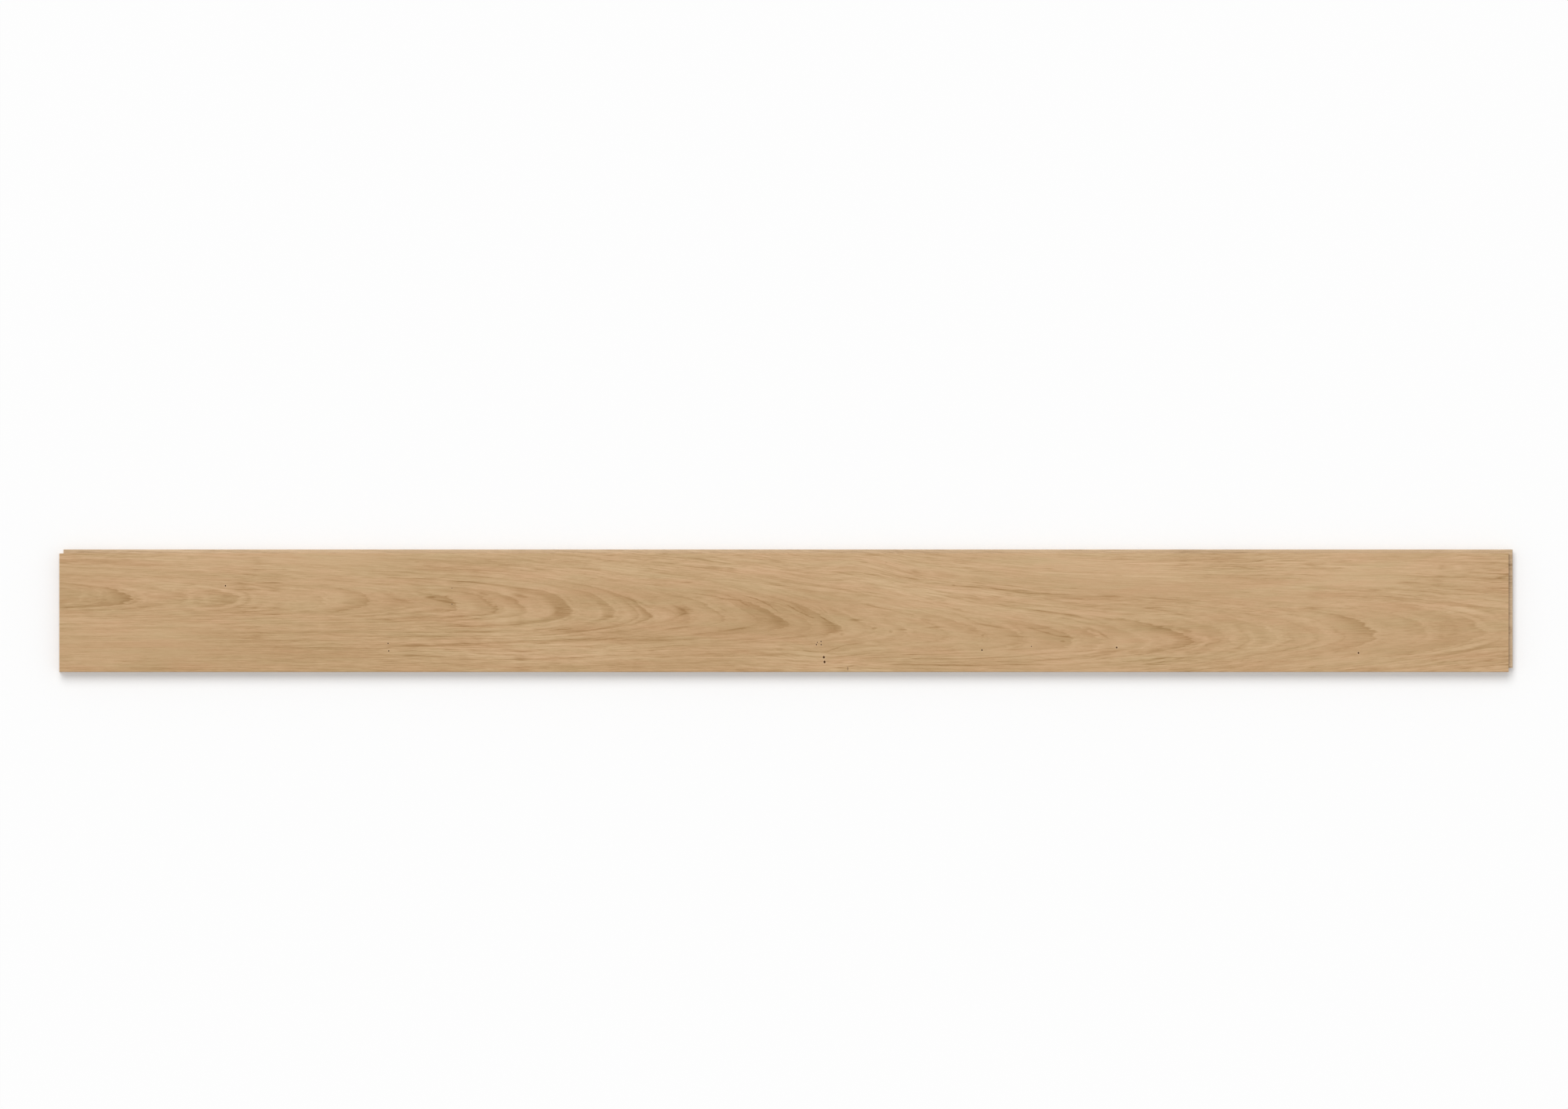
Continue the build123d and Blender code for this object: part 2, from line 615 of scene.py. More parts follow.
def milled_blank(name, face_span, edge_bevel, run, long_side):
    """A blank milled along one run: a section cut from a plane, then extruded along Y."""
    left, right = -face_span / 2, face_span / 2
    nose = right + tongue_length
    bpy.ops.object.select_all(action="DESELECT")
    bpy.ops.mesh.primitive_plane_add(
        size=1,
        location=((left + nose) / 2, -run / 2, thickness / 2),
        rotation=(math.radians(90), 0, 0),
    )
    blank = bpy.context.object
    blank.name = name
    blank.data.name = name
    blank.scale = (nose - left, thickness, 1)
    bpy.ops.object.transform_apply(location=True, rotation=True, scale=True)
    bpy.ops.object.mode_set(mode="EDIT")

    across, up = (1, 0, 0), (0, 0, 1)
    lower_left, lower_right = left + lower_setback, right - lower_setback
    groove_floor = left + groove_depth
    for x in (right, lower_right, lower_left, groove_floor):
        cut((x, 0, 0), across)
    for z in (tongue_low, tongue_high, groove_low, groove_high):
        cut((0, 0, z), up)
    clear(right, nose, tongue_high, thickness)
    clear(lower_right, nose, 0, tongue_low)
    clear(left, groove_floor, groove_low, groove_high)
    clear(left, lower_left, 0, groove_low)
    if long_side:
        mill_pocket_and_channels(right)
    bpy.ops.mesh.select_all(action="SELECT")
    bpy.ops.mesh.dissolve_limited(angle_limit=flat_within)

    round_corner(left, thickness, edge_bevel, 1)
    round_corner(right, thickness, edge_bevel, 1)
    round_corner(nose, tongue_high, tongue_nose_radius, 4)
    round_corner(nose, tongue_low, tongue_nose_radius, 4)
    round_corner(lower_right, 0, foot_chamfer, 1)
    round_corner(lower_left, 0, foot_chamfer, 1)
    round_corner(lower_left, groove_low, groove_mouth_chamfer, 1)
    round_corner(left, groove_high, groove_mouth_chamfer, 1)
    round_corner(groove_floor, groove_low, groove_floor_radius, 3)
    round_corner(groove_floor, groove_high, groove_floor_radius, 3)
    if long_side:
        for centre in channel_centres():
            for side in (-1, 1):
                edge = centre + side * channel_width / 2
                round_corner(edge, channel_depth, channel_floor_radius, 3)

    bpy.ops.object.mode_set(mode="OBJECT")
    outline = [Vector((corner.co.x, corner.co.z)) for corner in ring_of(blank.data)]
    bpy.ops.object.mode_set(mode="EDIT")
    bpy.ops.mesh.select_mode(type="FACE")
    bpy.ops.mesh.select_all(action="SELECT")
    bpy.ops.mesh.extrude_region_move(TRANSFORM_OT_translate={"value": (0, run, 0)})
    bpy.ops.mesh.select_all(action="SELECT")
    bpy.ops.mesh.normals_make_consistent(inside=False)
    bpy.ops.object.mode_set(mode="OBJECT")
    return blank, outline


def ring_of(mesh):
    """The corners of a section's one face, in order, from the end of its flat top on."""
    corners = [mesh.vertices[number] for number in mesh.polygons[0].vertices]
    tops = [abs(corner.co.z - thickness) < nearest for corner in corners]
    for turn in range(len(corners)):
        if tops[turn - 1] and tops[turn]:
            return corners[turn:] + corners[:turn]
    return corners


def channel_centres():
    """Where the relief channels of the back lie across the plank."""
    return [(i - (channel_count - 1) / 2) * channel_pitch for i in range(channel_count)]


def mill_pocket_and_channels(shoulder):
    """Takes the nail pocket and the relief channels out of the long sides' section."""
    slope = Vector((nail_pocket_depth, 0, nail_pocket_height))
    slant = Vector((-slope.z, 0, slope.x)).normalized()
    cut((shoulder, 0, tongue_high + nail_pocket_height), (1, 0, 0))
    cut((shoulder, 0, tongue_high + nail_pocket_height), tuple(slant))
    start = Vector((shoulder, 0, tongue_high + nail_pocket_height))

    def in_pocket(face):
        middle = face.calc_center_median()
        beyond = (middle.x - start.x) * slant.x + (middle.z - start.z) * slant.z < 0
        return beyond and middle.x < shoulder and tongue_high < middle.z < start.z

    if pick("FACE", in_pocket):
        bpy.ops.mesh.delete(type="FACE")
    cut((0, 0, channel_depth), (0, 0, 1))
    for centre in channel_centres():
        for side in (-1, 1):
            cut((centre + side * channel_width / 2, 0, 0), (1, 0, 0))
        clear(centre - channel_width / 2, centre + channel_width / 2, 0, channel_depth)


def apply_boolean(piece, tool, operation):
    """Cuts or trims a piece with another one, which is then thrown away."""
    only(piece)
    milling = piece.modifiers.new("milling", "BOOLEAN")
    milling.operation = operation
    milling.solver = "EXACT"
    milling.object = tool
    bpy.ops.object.modifier_apply(modifier=milling.name)
    bpy.data.objects.remove(tool)


def plank_body():
    """The plank as milled: the long sides' run, trimmed by the two ends' run."""
    long_run = face_length + 2 * (tongue_length + run_out)
    short_run = face_width + 2 * (tongue_length + run_out)
    plank, long_outline = milled_blank("oak_plank", face_width, long_edge_bevel, long_run, True)
    plank.rotation_euler = (0, 0, math.radians(90))
    bpy.ops.object.transform_apply(location=True, rotation=True, scale=True)
    ends, end_outline = milled_blank("end_milling", face_length, end_edge_bevel, short_run, False)
    apply_boolean(plank, ends, "INTERSECT")
    only(plank)
    bpy.ops.object.mode_set(mode="EDIT")
    bpy.ops.mesh.select_all(action="SELECT")
    bpy.ops.mesh.remove_doubles(threshold=nearest)
    pick("FACE", lambda face: not in_joint(face))
    bpy.ops.mesh.dissolve_limited(angle_limit=flat_within)
    bpy.ops.object.mode_set(mode="OBJECT")
    return plank, long_outline, end_outline


def in_joint(face):
    """Whether a face is a flat one of a tongue or a groove, which turns the corner."""
    height = face.calc_center_median().z
    return abs(face.normal.z) > 0.9 and tongue_low - MM < height < tongue_high + MM


def lay_out_relief_grid(plank):
    """Divides the face finely, closer across the grain than along it."""
    quarter = face_width / 4
    only(plank)
    bpy.ops.object.mode_set(mode="EDIT")
    pick("FACE", lambda face: on_face(face) or on_edge_bevel(face))
    bpy.ops.mesh.bisect(plane_co=(0, 0, 0), plane_no=(1, 0, 0), threshold=nearest)
    for y in (-quarter, 0, quarter):
        pick("FACE", on_face)
        bpy.ops.mesh.bisect(plane_co=(0, y, 0), plane_no=(0, 1, 0), threshold=nearest)
    pick("FACE", on_face)
    bpy.ops.mesh.subdivide(number_cuts=relief_cuts)
    bpy.ops.object.mode_set(mode="OBJECT")


def on_face(face):
    """Whether a face of the mesh is part of the plank's own flat face."""
    return face.normal.z > 0.9 and face.calc_center_median().z > thickness - nearest


def on_edge_bevel(face):
    """Whether a face of the mesh is part of the bevels round the plank's face."""
    return 0.5 < face.normal.z < 0.9 and face.calc_center_median().z > thickness - long_edge_bevel


def pit_cutter(x, y, half_length, half_width, depth):
    """A rounded cutter for one small pit in the face."""
    bpy.ops.object.select_all(action="DESELECT")
    centre = (x, y, thickness)
    bpy.ops.mesh.primitive_uv_sphere_add(segments=14, ring_count=8, radius=1, location=centre)
    cutter = bpy.context.object
    cutter.scale = (half_length, half_width, depth)
    bpy.ops.object.transform_apply(location=True, rotation=True, scale=True)
    return cutter


def sink_pits(plank):
    """Sinks the pin knots and the short check into the face."""
    cutters = []
    for x, y, half_width in pin_knots:
        cutters.append(pit_cutter(x, y, half_width * pin_knot_stretch, half_width, pin_knot_depth))
    check_size = (check_half_width, check_half_length, check_depth)
    cutters.append(pit_cutter(*check_place, *check_size))
    only(cutters[0])
    for cutter in cutters:
        cutter.select_set(True)
    bpy.ops.object.join()
    apply_boolean(plank, cutters[0], "DIFFERENCE")


# Node tools. Each node is made after the nodes that feed it, because the renderer works
# through them in that order and has little room for results that wait.

def feed(tree, value, socket):
    """Feeds a socket from another one, or sets it to a plain value."""
    if isinstance(value, bpy.types.NodeSocket):
        tree.links.new(value, socket)
    else:
        socket.default_value = value


def figure(tree, operation, *values, clamp=False):
    """One step of arithmetic on numbers and sockets."""
    step = tree.nodes.new("ShaderNodeMath")
    step.operation = operation
    step.use_clamp = clamp
    for value, socket in zip(values, step.inputs):
        feed(tree, value, socket)
    return step.outputs[0]


def total(tree, *values):
    """The sum of several numbers and sockets."""
    result = values[0]
    for value in values[1:]:
        result = figure(tree, "ADD", result, value)
    return result


def rise(tree, value, start, end):
    """Climbs smoothly from 0 to 1 while a value goes from start to end."""
    ramp = tree.nodes.new("ShaderNodeMapRange")
    ramp.interpolation_type = "SMOOTHSTEP"
    ramp.clamp = False
    feed(tree, value, ramp.inputs["Value"])
    feed(tree, start, ramp.inputs["From Min"])
    feed(tree, end, ramp.inputs["From Max"])
    return ramp.outputs["Result"]


def point(tree, x, y, z):
    """A place, or a stretched copy of one, from three numbers or sockets."""
    join = tree.nodes.new("ShaderNodeCombineXYZ")
    for value, socket in zip((x, y, z), join.inputs):
        feed(tree, value, socket)
    return join.outputs[0]


def parts_of(tree, place):
    """The three numbers that make up a place."""
    split = tree.nodes.new("ShaderNodeSeparateXYZ")
    feed(tree, place, split.inputs[0])
    return split.outputs


def stretched(tree, grain, places):
    """Where to read a pattern, so that it makes so many turns in a metre each way.

    A plain number among the places picks a layer of the pattern.
    """
    parts = []
    for place, turns in zip(places, grain):
        layer = isinstance(place, (int, float))
        parts.append(place * turns if layer else times(tree, place, turns))
    return point(tree, *parts)


def streaks(tree, grain, places, swing, detail=1.0):
    """Soft random streaks that swing this far to both sides of nothing."""
    spot = stretched(tree, grain, places)
    noise = tree.nodes.new("ShaderNodeTexNoise")
    feed(tree, spot, noise.inputs["Vector"])
    feed(tree, 1.0, noise.inputs["Scale"])
    feed(tree, detail, noise.inputs["Detail"])
    centred = figure(tree, "SUBTRACT", noise.outputs["Fac"], 0.5)
    return figure(tree, "MULTIPLY", centred, swing * noise_reach)


def times(tree, value, factor):
    """A number or socket made larger or smaller."""
    return figure(tree, "MULTIPLY", value, factor)


def effect(name, inputs, outputs):
    """An empty node group, with the sockets of its inside given back by name."""
    group = bpy.data.node_groups.new(name, "ShaderNodeTree")
    kinds = {"number": "NodeSocketFloat", "vector": "NodeSocketVector"}
    for socket_name, kind in inputs:
        group.interface.new_socket(socket_name, in_out="INPUT", socket_type=kinds[kind])
    for socket_name, kind in outputs:
        group.interface.new_socket(socket_name, in_out="OUTPUT", socket_type=kinds[kind])
    inside = group.nodes.new("NodeGroupInput").outputs
    outside = group.nodes.new("NodeGroupOutput").inputs
    return group, inside, outside


def use(tree, group, **inputs):
    """Places a node group in a tree and gives back its outputs."""
    placed = tree.nodes.new("ShaderNodeGroup")
    placed.node_tree = group
    for name, value in inputs.items():
        feed(tree, value, placed.inputs[name])
    return placed.outputs


def drawn_curve(tree, value, points, start, end):
    """A smooth curve through given points, read at a value between start and end."""
    share = figure(tree, "DIVIDE", figure(tree, "SUBTRACT", value, start), end - start)
    node = tree.nodes.new("ShaderNodeFloatCurve")
    node.mapping.use_clip = False
    curve = node.mapping.curves[0]
    scaled = [((place - start) / (end - start), level) for place, level in points]
    for place, level in scaled[1:-1]:
        curve.points.new(place, level)
    curve.points[0].location = scaled[0]
    curve.points[len(curve.points) - 1].location = scaled[-1]
    node.mapping.update()
    node.mapping.initialize()
    feed(tree, share, node.inputs["Value"])

    def read(place):
        return node.mapping.evaluate(curve, (place - start) / (end - start))

    return node.outputs["Value"], read


# Growth of the log

def growth_rings():
    """Node group that finds the growth ring at any place in the plank.

    Gives back the group, and a function that reads the same rings in Python.
    """
    group, given, found = effect(
        "growth_rings",
        [("Position", "vector")],
        [("Radius", "number"), ("Across", "number"), ("Height", "number"),
         ("Age", "number"), ("Late Wood", "number")],
    )
    x, y, z = parts_of(group, given["Position"])

    pushed = y
    for along, over, reach_along, reach_over, push in grain_swells:
        lengthwise = figure(group, "DIVIDE", figure(group, "SUBTRACT", x, along), reach_along)
        crosswise = figure(group, "DIVIDE", figure(group, "SUBTRACT", y, over), reach_over)
        spread = total(
            group,
            figure(group, "MULTIPLY", lengthwise, lengthwise),
            figure(group, "MULTIPLY", crosswise, crosswise),
        )
        swell = figure(group, "EXPONENT", times(group, spread, -1))
        pushed = figure(group, "MULTIPLY_ADD", swell, push, pushed)

    drift, read_drift = drawn_curve(group, x, pith_drift, -log_end, log_end)
    across = figure(group, "SUBTRACT", pushed, drift)
    reached = figure(group, "DIVIDE", across, arch_skew_reach)
    slack = figure(group, "MULTIPLY_ADD", reached, reached, 1)
    skew, read_skew = drawn_curve(group, x, arch_skew, -log_end, log_end)
    skewed = figure(group, "MULTIPLY_ADD", figure(group, "DIVIDE", across, slack), skew, x)
    depth, read_depth = drawn_curve(group, skewed, pith_depth, -log_end, log_end)
    height = figure(group, "SUBTRACT", total(group, depth, z), thickness)
    squashed = times(group, across, log_ovality)
    squared = figure(group, "MULTIPLY", squashed, squashed)
    across_squared = figure(group, "MULTIPLY", across, across)
    blunting = total(group, across_squared, arch_bluntness ** 2)
    blunted = figure(group, "DIVIDE", across_squared, blunting)
    true_radius = figure(group, "SQRT", total(
        group,
        figure(group, "MULTIPLY", squared, blunted),
        figure(group, "MULTIPLY", height, height),
    ))
    slow_wobble = streaks(group, slow_wobble_grain, (x, across, height), ring_wobble, 2)
    fine_wobble = streaks(group, fine_wobble_grain, (x, across, height), ring_fray)
    radius = total(group, true_radius, slow_wobble, fine_wobble)

    radii, strengths = ring_list(read_depth)
    counts = [(radius_of_ring, number) for number, radius_of_ring in enumerate(radii)]
    count, read_count = drawn_curve(group, radius, [(0, -1)] + counts, 0, widest_log)
    age = figure(group, "FRACT", count)
    ring = figure(group, "FLOOR", count)
    middles = [(number - 0.5, strength) for number, strength in enumerate(strengths)]
    first, last = middles[0][0], middles[-1][0]
    strength = drawn_curve(group, total(group, ring, 0.5), middles, first, last)[0]
    darkening = figure(group, "POWER", age, late_wood_curve)
    fading = streaks(group, fading_grain, (x, ring, across), ring_fading)
    shown = figure(group, "ADD", strength, fading, clamp=True)
    darkened = figure(group, "MULTIPLY", shown, darkening)
    late_wood = figure(group, "MULTIPLY", darkened, rise(group, age, 1, late_wood_end))

    feed(group, radius, found["Radius"])
    feed(group, across, found["Across"])
    feed(group, height, found["Height"])
    feed(group, age, found["Age"])
    feed(group, late_wood, found["Late Wood"])

    def read_age(x, y):
        """Age within its ring of the wood at one place on the face, 0 to 1."""
        for along, over, reach_along, reach_over, push in grain_swells:
            spread = ((x - along) / reach_along) ** 2 + ((y - over) / reach_over) ** 2
            y += push * math.exp(-spread)
        across = y - read_drift(x)
        skewed = x + read_skew(x) * across / (1 + (across / arch_skew_reach) ** 2)
        blunted = math.sqrt(across ** 2 / (across ** 2 + arch_bluntness ** 2))
        radius = math.hypot(log_ovality * across * blunted, read_depth(skewed))
        return read_count(radius) % 1

    return group, read_age


def ring_list(read_depth):
    """The outer radius of every growth ring, and how dark each one's late wood is."""
    chance = random.Random(11)
    first, last = read_depth(arch_tips[0][0]), read_depth(arch_tips[-1][0])
    radii = [first - inner_ring_width * count for count in range(1, int(first / inner_ring_width))]
    radii.reverse()
    strengths = [chance.uniform(0.3, 0.8) for radius in radii]
    for along, strength in arch_tips:
        radii.append(read_depth(along))
        strengths.append(strength)
    while radii[-1] < widest_log:
        radii.append(radii[-1] + outer_ring_width * chance.uniform(0.7, 1.3))
        strengths.append(chance.uniform(0.3, 0.9))
    radii[-1] = widest_log
    return radii, strengths


def grain_lines():
    """Node group for the lines that run along the grain, in levels of shade."""
    group, given, found = effect(
        "grain_lines",
        [("Position", "vector"), ("Radius", "number"), ("Across", "number"), ("Height", "number")],
        [("Lines", "number"), ("Fibres", "number"), ("Clouds", "number")],
    )
    x = parts_of(group, given["Position"])[0]
    radius, across, height = given["Radius"], given["Across"], given["Height"]
    fine = streaks(group, fine_line_grain, (x, radius, fine_line_layer), fine_line_swing)
    broad = streaks(group, broad_line_grain, (x, radius, broad_line_layer), broad_line_swing, 2)
    thread = streaks(group, thread_grain, (x, radius, thread_layer), 1, 0)
    dark_thread = rise(group, figure(group, "ABSOLUTE", thread), thread_width, 0)
    beside = figure(group, "SUBTRACT", thread, 2 * thread_width)
    pale_thread = rise(group, figure(group, "ABSOLUTE", beside), thread_width, 0)
    glow = times(group, pale_thread, thread_glow)
    threads = figure(group, "MULTIPLY_ADD", dark_thread, -thread_shade, glow)
    fibres = streaks(group, fibre_grain, (x, across, height), fibre_swing, 2)
    clouds = streaks(group, cloud_grain, (x, across, height), cloud_swing, 3)
    busy = streaks(group, busy_grain, (x, across, height), busy_swing)
    lively = figure(group, "ADD", busy, 1)
    lines = total(group, fine, broad, threads)
    feed(group, figure(group, "MULTIPLY", lines, lively), found["Lines"])
    feed(group, figure(group, "MULTIPLY", fibres, lively), found["Fibres"])
    feed(group, clouds, found["Clouds"])
    return group


def pores():
    """Node group for the open pores: long tubes that crowd the early wood of each ring."""
    group, given, found = effect(
        "pores",
        [("Position", "vector"), ("Across", "number"), ("Height", "number"), ("Age", "number")],
        [("Pores", "number")],
    )
    x = parts_of(group, given["Position"])[0]
    grain = (1 / pore_length, 1 / pore_pitch, 1 / pore_pitch)
    spot = stretched(group, grain, (x, given["Across"], given["Height"]))
    tubes = group.nodes.new("ShaderNodeTexVoronoi")
    feed(group, spot, tubes.inputs["Vector"])
    feed(group, 1.0, tubes.inputs["Scale"])
    early_wood = rise(group, given["Age"], 0.5, 0.1)
    crowding = figure(group, "MULTIPLY_ADD", early_wood, pore_extra_width, pore_width)
    inner = times(group, crowding, pore_core)
    feed(group, rise(group, tubes.outputs["Distance"], crowding, inner), found["Pores"])
    return group


def rays():
    """Node group for the rays, thin plates that stand out from the pith like spokes."""
    group, given, found = effect(
        "rays",
        [("Position", "vector"), ("Radius", "number"), ("Across", "number"), ("Height", "number")],
        [("Rays", "number")],
    )
    x = parts_of(group, given["Position"])[0]
    angle = figure(group, "ARCTAN2", given["Across"], given["Height"])
    spot = stretched(group, ray_grain, (x, angle, given["Radius"]))
    plates = group.nodes.new("ShaderNodeTexNoise")
    feed(group, spot, plates.inputs["Vector"])
    feed(group, 1.0, plates.inputs["Scale"])
    feed(group, 1.0, plates.inputs["Detail"])
    feed(group, rise(group, plates.outputs["Fac"], ray_edge, ray_middle), found["Rays"])
    return group


def soft_spot():
    """Node group for one oval spot in the grain: a pin knot, the pale painted highlight round it,
    or a dark mark.
    """
    group, given, found = effect(
        "soft_spot",
        [(name, "number") for name in (
            "Along", "Over", "Place Along", "Place Over", "Half Length", "Half Width", "Lean"
        )],
        [("Distance", "number")],
    )
    along = figure(group, "SUBTRACT", given["Along"], given["Place Along"])
    over = figure(group, "SUBTRACT", given["Over"], given["Place Over"])
    straight = figure(group, "SUBTRACT", over, figure(group, "MULTIPLY", along, given["Lean"]))
    lengthwise = figure(group, "DIVIDE", along, given["Half Length"])
    crosswise = figure(group, "DIVIDE", straight, given["Half Width"])
    squares = total(
        group,
        figure(group, "MULTIPLY", lengthwise, lengthwise),
        figure(group, "MULTIPLY", crosswise, crosswise),
    )
    feed(group, figure(group, "SQRT", squares), found["Distance"])
    return group


def spot_at(tree, effects, along, over, x, y, half_length, half_width, lean=0):
    """Distance from one oval spot, which is 1 at its rim."""
    sizes = {
        "Place Along": x,
        "Place Over": y,
        "Half Length": half_length,
        "Half Width": half_width,
        "Lean": lean,
    }
    return use(tree, effects["spot"], Along=along, Over=over, **sizes)["Distance"]


def cutter_marks():
    """Node group for the shallow ripples that a planing head leaves."""
    group, given, found = effect(
        "cutter_marks",
        [("Position", "vector"), ("Pitch", "number")],
        [("Ripple", "number")],
    )
    turns = figure(group, "DIVIDE", parts_of(group, given["Position"])[0], given["Pitch"])
    feed(group, figure(group, "PINGPONG", turns, 0.5), found["Ripple"])
    return group


# Finishes, in the order the plank has them

FACE, SIDE, BACK, END, HOLLOW = range(5)


def new_finish(name):
    """An empty material, with its tree, its shader and the place it is read at."""
    finish = bpy.data.materials.new(name)
    finish.use_nodes = True
    tree = finish.node_tree
    tree.nodes.clear()
    shader = tree.nodes.new("ShaderNodeBsdfPrincipled")
    output = tree.nodes.new("ShaderNodeOutputMaterial")
    tree.links.new(shader.outputs[0], output.inputs["Surface"])
    where = tree.nodes.new("ShaderNodeTexCoord").outputs["Object"]
    return finish, tree, shader, where


def shades(tree, level, darkest, palest, steps=9):
    """Turns levels of shade round the middle into a colour between two.

    Dark grain is drawn darker and pale grain less pale, as oil brings it out.
    """
    reach = max(palest) - max(darkest)
    place = figure(tree, "MULTIPLY_ADD", level, 1 / reach, 0.5)
    ramp = tree.nodes.new("ShaderNodeValToRGB")
    elements = ramp.color_ramp.elements
    while len(elements) < steps:
        elements.new(0.5)
    for number, element in enumerate(elements):
        share = number / (steps - 1)
        element.position = share
        share -= oil_depth * (share - 0.5) ** 2
        colour = [dark + share * (pale - dark) for dark, pale in zip(darkest, palest)]
        element.color = srgb(*colour)
    feed(tree, place, ramp.inputs["Fac"])
    return ramp.outputs["Color"]


def stain(tree, share, colour, tint):
    """Covers a colour with a tint where the share is high."""
    mix = tree.nodes.new("ShaderNodeMix")
    mix.data_type = "RGBA"
    feed(tree, share, mix.inputs["Factor"])
    feed(tree, colour, mix.inputs[6])
    feed(tree, tint, mix.inputs[7])
    return mix.outputs[2]


def relief(tree, height, depth, shader):
    """Gives a shader fine relief of the given depth."""
    bump = tree.nodes.new("ShaderNodeBump")
    bump.inputs["Distance"].default_value = depth
    feed(tree, height, bump.inputs["Height"])
    tree.links.new(bump.outputs["Normal"], shader.inputs["Normal"])


def wood_at(tree, effects, where):
    """The rings, the lines, the pores and the rays of the wood at a place."""
    ring = use(tree, effects["rings"], Position=where)
    shell = {"Across": ring["Across"], "Height": ring["Height"]}
    grain = use(tree, effects["lines"], Position=where, Radius=ring["Radius"], **shell)
    pore = use(tree, effects["pores"], Position=where, Age=ring["Age"], **shell)
    ray = use(tree, effects["rays"], Position=where, Radius=ring["Radius"], **shell)
    return ring, grain, pore["Pores"], ray["Rays"]


def oiled_face(effects):
    """Planed and oiled oak, as on the side that is walked on."""
    finish, tree, shader, where = new_finish("oiled_face")
    ring, grain, pore, ray = wood_at(tree, effects, where)
    x_here, y_here = parts_of(tree, where)[:2]
    along = drawn_curve(tree, x_here, shade_along_board, -log_end, log_end)[0]
    half = face_width / 2
    over = drawn_curve(tree, y_here, shade_across_board, -half, half)[0]

    # Both places are frayed by the fibres, so that no part of a mark is ready before
    # the rest of it and has to wait
    marks = 0.0
    frayed_along = figure(tree, "MULTIPLY_ADD", grain["Fibres"], mark_end_fray, x_here)
    frayed_over = figure(tree, "MULTIPLY_ADD", grain["Fibres"], mark_fray, y_here)
    for *shape, strength in grain_marks:
        distance = spot_at(tree, effects, frayed_along, frayed_over, *shape)
        shown = rise(tree, distance, mark_edge, mark_core)
        marks = figure(tree, "MULTIPLY_ADD", shown, strength, marks)

    off_crown = figure(tree, "DIVIDE", ring["Across"], crown_reach)
    off_crown_squared = figure(tree, "MULTIPLY", off_crown, off_crown)
    crown = figure(tree, "EXPONENT", times(tree, off_crown_squared, -1))
    ring_depth = figure(tree, "MULTIPLY_ADD", crown, crown_shade, ring_shade)
    line_depth = figure(tree, "MULTIPLY_ADD", crown, -crown_calm, 1)
    level = total(
        tree,
        along,
        over,
        times(tree, figure(tree, "MULTIPLY", ring["Late Wood"], ring_depth), -1),
        figure(tree, "MULTIPLY", grain["Lines"], line_depth),
        grain["Fibres"],
        grain["Clouds"],
        times(tree, pore, -pore_shade),
        times(tree, ray, ray_shade),
        times(tree, marks, -mark_shade),
    )
    # Each pin knot: a dark core of knot wood, and round it a pale rim that is a painted highlight
    core, painted_knot_highlight = 0.0, 0.0
    for x, y, half_width in pin_knots:
        half_length = half_width * pin_knot_stretch
        distance = spot_at(tree, effects, x_here, y_here, x, y, half_length, half_width)
        core = figure(tree, "MAXIMUM", core, rise(tree, distance, knot_edge, knot_core))
        painted_knot_highlight = figure(tree, "MAXIMUM", painted_knot_highlight, rise(tree, distance, knot_highlight_edge, knot_highlight_core))
    level = total(tree, level, times(tree, painted_knot_highlight, knot_highlight_level))
    places = (x_here, ring["Across"], ring["Height"])
    warmth = streaks(tree, warmth_grain, places, warmth_swing, 2)
    pinker = figure(tree, "ADD", warmth, 0.5, clamp=True)
    yellow_oak = shades(tree, level, yellow_darkest, yellow_palest)
    pink_oak = shades(tree, level, pink_darkest, pink_palest)
    colour = stain(tree, pinker, yellow_oak, pink_oak)
    feed(tree, stain(tree, core, colour, srgb(*knot_colour)), shader.inputs["Base Color"])

    rough = figure(tree, "MULTIPLY_ADD", pore, oiled_pore_roughness, oiled_roughness)
    duller = times(tree, grain["Fibres"], oiled_fibre_roughness)
    feed(tree, total(tree, rough, duller), shader.inputs["Roughness"])
    height = total(
        tree,
        times(tree, pore, -1),
        times(tree, grain["Fibres"], oiled_fibre_height),
        times(tree, ring["Late Wood"], late_wood_height),
    )
    relief(tree, height, oiled_relief, shader)
    return finish


def raw_oak(name, effects, darkest, palest, marks_pitch, marks_depth):
    """Bare oak straight from the planer or the moulder."""
    finish, tree, shader, where = new_finish(name)
    ring, grain, pore, ray = wood_at(tree, effects, where)
    ripple = use(tree, effects["cutter"], Position=where, Pitch=marks_pitch)["Ripple"]
    level = total(
        tree,
        times(tree, ring["Late Wood"], -ring_shade),
        grain["Lines"],
        grain["Fibres"],
        grain["Clouds"],
        times(tree, pore, -pore_shade * raw_pore_gain),
        times(tree, ray, ray_shade * raw_ray_gain),
        # Painted shade: the cutter ripples darker in their hollows and paler on their crests
        times(tree, ripple, ripple_painted_shade),
    )
    feed(tree, shades(tree, level, darkest, palest), shader.inputs["Base Color"])
    rough = figure(tree, "MULTIPLY_ADD", pore, raw_pore_roughness, raw_roughness)
    feed(tree, rough, shader.inputs["Roughness"])
    height = total(
        tree,
        times(tree, pore, -raw_pore_drop),
        times(tree, grain["Fibres"], raw_fibre_height),
        ripple,
    )
    relief(tree, height, marks_depth, shader)
    return finish


def end_grain(effects):
    """Sawn ends, where each ring shows as an arc and each pore as a dot."""
    finish, tree, shader, where = new_finish("end_grain")
    ring, grain, pore, ray = wood_at(tree, effects, where)
    level = total(
        tree,
        times(tree, ring["Late Wood"], -ring_shade * end_ring_gain),
        grain["Lines"],
        grain["Clouds"],
        times(tree, pore, -pore_shade * end_pore_gain),
        times(tree, ray, ray_shade * end_ray_gain),
    )
    feed(tree, shades(tree, level, end_darkest, end_palest), shader.inputs["Base Color"])
    rough = figure(tree, "MULTIPLY_ADD", pore, end_pore_roughness, end_roughness)
    feed(tree, rough, shader.inputs["Roughness"])
    raised = times(tree, grain["Fibres"], end_fibre_height)
    height = total(tree, times(tree, pore, -1), raised)
    relief(tree, height, end_relief, shader)
    return finish


